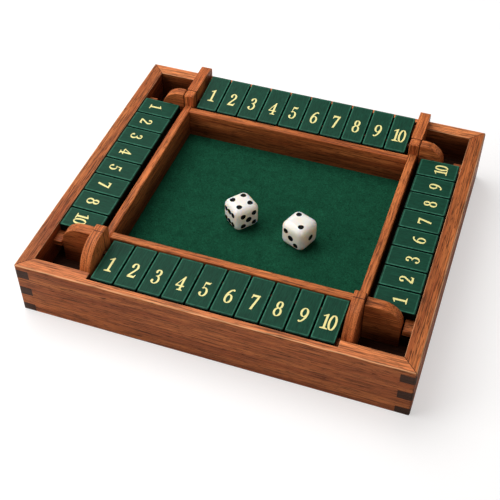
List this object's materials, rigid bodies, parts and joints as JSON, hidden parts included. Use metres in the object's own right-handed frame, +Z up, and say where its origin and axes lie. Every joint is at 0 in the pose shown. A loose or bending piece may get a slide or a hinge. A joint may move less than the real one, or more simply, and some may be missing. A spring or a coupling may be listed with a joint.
{
  "type": "shut the box game",
  "caption": "Rectangular hardwood dice-game box with a felt-lined tray, rows of number tiles flipping on rods along all sides, and loose dice.",
  "frame": {"origin": "middle of the underside of the box, at the feet of its walls", "axes": "+X to the right along the longer side, +Y to the back, +Z up out of the tray"},
  "size_m": [0.26, 0.229, 0.0555],
  "materials": {
    "wood": "satin oiled red-brown hardwood",
    "key_wood": "satin dark hardwood",
    "panel": "stained plywood",
    "rod_wood": "satin dowel",
    "tile_paint": "satin green stain with pale gold numerals",
    "felt": "short-pile felt",
    "die": "ivory gloss with black pips"
  },
  "bodies": {
    "box": {"front_wall": "wood", "back_wall": "wood", "left_wall": "wood", "right_wall": "wood", "corner_keys": "key_wood", "base_panel": "panel", "front_rail": "wood", "back_rail": "wood", "left_rail": "wood", "right_rail": "wood", "felt": "felt", "corner_posts": "wood", "front_cheeks": "wood", "back_cheeks": "wood", "left_cheeks": "wood", "right_cheeks": "wood", "front_rod": "rod_wood", "back_rod": "rod_wood", "left_rod": "rod_wood", "right_rod": "rod_wood", "rest_battens": "wood"},
    "front_tile_1": {"front_tile_1": "tile_paint"},
    "front_tile_2": {"front_tile_2": "tile_paint"},
    "front_tile_3": {"front_tile_3": "tile_paint"},
    "front_tile_4": {"front_tile_4": "tile_paint"},
    "front_tile_5": {"front_tile_5": "tile_paint"},
    "front_tile_6": {"front_tile_6": "tile_paint"},
    "front_tile_7": {"front_tile_7": "tile_paint"},
    "front_tile_8": {"front_tile_8": "tile_paint"},
    "front_tile_9": {"front_tile_9": "tile_paint"},
    "front_tile_10": {"front_tile_10": "tile_paint"},
    "back_tile_1": {"back_tile_1": "tile_paint"},
    "back_tile_2": {"back_tile_2": "tile_paint"},
    "back_tile_3": {"back_tile_3": "tile_paint"},
    "back_tile_4": {"back_tile_4": "tile_paint"},
    "back_tile_5": {"back_tile_5": "tile_paint"},
    "back_tile_6": {"back_tile_6": "tile_paint"},
    "back_tile_7": {"back_tile_7": "tile_paint"},
    "back_tile_8": {"back_tile_8": "tile_paint"},
    "back_tile_9": {"back_tile_9": "tile_paint"},
    "back_tile_10": {"back_tile_10": "tile_paint"},
    "left_tile_1": {"left_tile_1": "tile_paint"},
    "left_tile_2": {"left_tile_2": "tile_paint"},
    "left_tile_3": {"left_tile_3": "tile_paint"},
    "left_tile_4": {"left_tile_4": "tile_paint"},
    "left_tile_5": {"left_tile_5": "tile_paint"},
    "left_tile_6": {"left_tile_6": "tile_paint"},
    "left_tile_7": {"left_tile_7": "tile_paint"},
    "left_tile_8": {"left_tile_8": "tile_paint"},
    "right_tile_1": {"right_tile_1": "tile_paint"},
    "right_tile_2": {"right_tile_2": "tile_paint"},
    "right_tile_3": {"right_tile_3": "tile_paint"},
    "right_tile_4": {"right_tile_4": "tile_paint"},
    "right_tile_5": {"right_tile_5": "tile_paint"},
    "right_tile_6": {"right_tile_6": "tile_paint"},
    "right_tile_7": {"right_tile_7": "tile_paint"},
    "right_tile_8": {"right_tile_8": "tile_paint"},
    "die_a": {"die_a": "die"},
    "die_b": {"die_b": "die"}
  },
  "joints": [
    {"name": "front_tile_1_flip", "type": "hinge", "parent": "box", "child": "front_tile_1", "pos_m": [-0.07155, -0.08355, 0.03908], "axis": [-1, 0, 0], "range_deg": [0, 150]},
    {"name": "front_tile_2_flip", "type": "hinge", "parent": "box", "child": "front_tile_2", "pos_m": [-0.05565, -0.08355, 0.03908], "axis": [-1, 0, 0], "range_deg": [0, 150]},
    {"name": "front_tile_3_flip", "type": "hinge", "parent": "box", "child": "front_tile_3", "pos_m": [-0.03975, -0.08355, 0.03908], "axis": [-1, 0, 0], "range_deg": [0, 150]},
    {"name": "front_tile_4_flip", "type": "hinge", "parent": "box", "child": "front_tile_4", "pos_m": [-0.02385, -0.08355, 0.03908], "axis": [-1, 0, 0], "range_deg": [0, 150]},
    {"name": "front_tile_5_flip", "type": "hinge", "parent": "box", "child": "front_tile_5", "pos_m": [-0.00795, -0.08355, 0.03908], "axis": [-1, 0, 0], "range_deg": [0, 150]},
    {"name": "front_tile_6_flip", "type": "hinge", "parent": "box", "child": "front_tile_6", "pos_m": [0.00795, -0.08355, 0.03908], "axis": [-1, 0, 0], "range_deg": [0, 150]},
    {"name": "front_tile_7_flip", "type": "hinge", "parent": "box", "child": "front_tile_7", "pos_m": [0.02385, -0.08355, 0.03908], "axis": [-1, 0, 0], "range_deg": [0, 150]},
    {"name": "front_tile_8_flip", "type": "hinge", "parent": "box", "child": "front_tile_8", "pos_m": [0.03975, -0.08355, 0.03908], "axis": [-1, 0, 0], "range_deg": [0, 150]},
    {"name": "front_tile_9_flip", "type": "hinge", "parent": "box", "child": "front_tile_9", "pos_m": [0.05565, -0.08355, 0.03908], "axis": [-1, 0, 0], "range_deg": [0, 150]},
    {"name": "front_tile_10_flip", "type": "hinge", "parent": "box", "child": "front_tile_10", "pos_m": [0.07155, -0.08355, 0.03908], "axis": [-1, 0, 0], "range_deg": [0, 150]},
    {"name": "back_tile_1_flip", "type": "hinge", "parent": "box", "child": "back_tile_1", "pos_m": [-0.07155, 0.0838, 0.0402], "axis": [1, 0, 0], "range_deg": [0, 149]},
    {"name": "back_tile_2_flip", "type": "hinge", "parent": "box", "child": "back_tile_2", "pos_m": [-0.05565, 0.0838, 0.0402], "axis": [1, 0, 0], "range_deg": [0, 149]},
    {"name": "back_tile_3_flip", "type": "hinge", "parent": "box", "child": "back_tile_3", "pos_m": [-0.03975, 0.0838, 0.0402], "axis": [1, 0, 0], "range_deg": [0, 149]},
    {"name": "back_tile_4_flip", "type": "hinge", "parent": "box", "child": "back_tile_4", "pos_m": [-0.02385, 0.0838, 0.0402], "axis": [1, 0, 0], "range_deg": [0, 149]},
    {"name": "back_tile_5_flip", "type": "hinge", "parent": "box", "child": "back_tile_5", "pos_m": [-0.00795, 0.0838, 0.0402], "axis": [1, 0, 0], "range_deg": [0, 149]},
    {"name": "back_tile_6_flip", "type": "hinge", "parent": "box", "child": "back_tile_6", "pos_m": [0.00795, 0.0838, 0.0402], "axis": [1, 0, 0], "range_deg": [0, 149]},
    {"name": "back_tile_7_flip", "type": "hinge", "parent": "box", "child": "back_tile_7", "pos_m": [0.02385, 0.0838, 0.0402], "axis": [1, 0, 0], "range_deg": [0, 149]},
    {"name": "back_tile_8_flip", "type": "hinge", "parent": "box", "child": "back_tile_8", "pos_m": [0.03975, 0.0838, 0.0402], "axis": [1, 0, 0], "range_deg": [0, 149]},
    {"name": "back_tile_9_flip", "type": "hinge", "parent": "box", "child": "back_tile_9", "pos_m": [0.05565, 0.0838, 0.0402], "axis": [1, 0, 0], "range_deg": [0, 149]},
    {"name": "back_tile_10_flip", "type": "hinge", "parent": "box", "child": "back_tile_10", "pos_m": [0.07155, 0.0838, 0.0402], "axis": [1, 0, 0], "range_deg": [0, 149]},
    {"name": "left_tile_1_flip", "type": "hinge", "parent": "box", "child": "left_tile_1", "pos_m": [-0.09955, -0.063, 0.03904], "axis": [0, 1, 0], "range_deg": [0, 149.5]},
    {"name": "left_tile_2_flip", "type": "hinge", "parent": "box", "child": "left_tile_2", "pos_m": [-0.09955, -0.045, 0.03904], "axis": [0, 1, 0], "range_deg": [0, 149.5]},
    {"name": "left_tile_3_flip", "type": "hinge", "parent": "box", "child": "left_tile_3", "pos_m": [-0.09955, -0.027, 0.03904], "axis": [0, 1, 0], "range_deg": [0, 149.5]},
    {"name": "left_tile_4_flip", "type": "hinge", "parent": "box", "child": "left_tile_4", "pos_m": [-0.09955, -0.009, 0.03904], "axis": [0, 1, 0], "range_deg": [0, 149.5]},
    {"name": "left_tile_5_flip", "type": "hinge", "parent": "box", "child": "left_tile_5", "pos_m": [-0.09955, 0.009, 0.03904], "axis": [0, 1, 0], "range_deg": [0, 149.5]},
    {"name": "left_tile_6_flip", "type": "hinge", "parent": "box", "child": "left_tile_6", "pos_m": [-0.09955, 0.027, 0.03904], "axis": [0, 1, 0], "range_deg": [0, 149.5]},
    {"name": "left_tile_7_flip", "type": "hinge", "parent": "box", "child": "left_tile_7", "pos_m": [-0.09955, 0.045, 0.03904], "axis": [0, 1, 0], "range_deg": [0, 149.5]},
    {"name": "left_tile_8_flip", "type": "hinge", "parent": "box", "child": "left_tile_8", "pos_m": [-0.09955, 0.063, 0.03904], "axis": [0, 1, 0], "range_deg": [0, 149.5]},
    {"name": "right_tile_1_flip", "type": "hinge", "parent": "box", "child": "right_tile_1", "pos_m": [0.09955, -0.063, 0.03904], "axis": [0, -1, 0], "range_deg": [0, 149.5]},
    {"name": "right_tile_2_flip", "type": "hinge", "parent": "box", "child": "right_tile_2", "pos_m": [0.09955, -0.045, 0.03904], "axis": [0, -1, 0], "range_deg": [0, 149.5]},
    {"name": "right_tile_3_flip", "type": "hinge", "parent": "box", "child": "right_tile_3", "pos_m": [0.09955, -0.027, 0.03904], "axis": [0, -1, 0], "range_deg": [0, 149.5]},
    {"name": "right_tile_4_flip", "type": "hinge", "parent": "box", "child": "right_tile_4", "pos_m": [0.09955, -0.009, 0.03904], "axis": [0, -1, 0], "range_deg": [0, 149.5]},
    {"name": "right_tile_5_flip", "type": "hinge", "parent": "box", "child": "right_tile_5", "pos_m": [0.09955, 0.009, 0.03904], "axis": [0, -1, 0], "range_deg": [0, 149.5]},
    {"name": "right_tile_6_flip", "type": "hinge", "parent": "box", "child": "right_tile_6", "pos_m": [0.09955, 0.027, 0.03904], "axis": [0, -1, 0], "range_deg": [0, 149.5]},
    {"name": "right_tile_7_flip", "type": "hinge", "parent": "box", "child": "right_tile_7", "pos_m": [0.09955, 0.045, 0.03904], "axis": [0, -1, 0], "range_deg": [0, 149.5]},
    {"name": "right_tile_8_flip", "type": "hinge", "parent": "box", "child": "right_tile_8", "pos_m": [0.09955, 0.063, 0.03904], "axis": [0, -1, 0], "range_deg": [0, 149.5]},
    {"name": "die_a_lift", "type": "slide", "parent": "box", "child": "die_a", "axis": [0, 0, 1], "range_m": [0, 0.06]},
    {"name": "die_b_lift", "type": "slide", "parent": "box", "child": "die_b", "axis": [0, 0, 1], "range_m": [0, 0.06]}
  ]
}
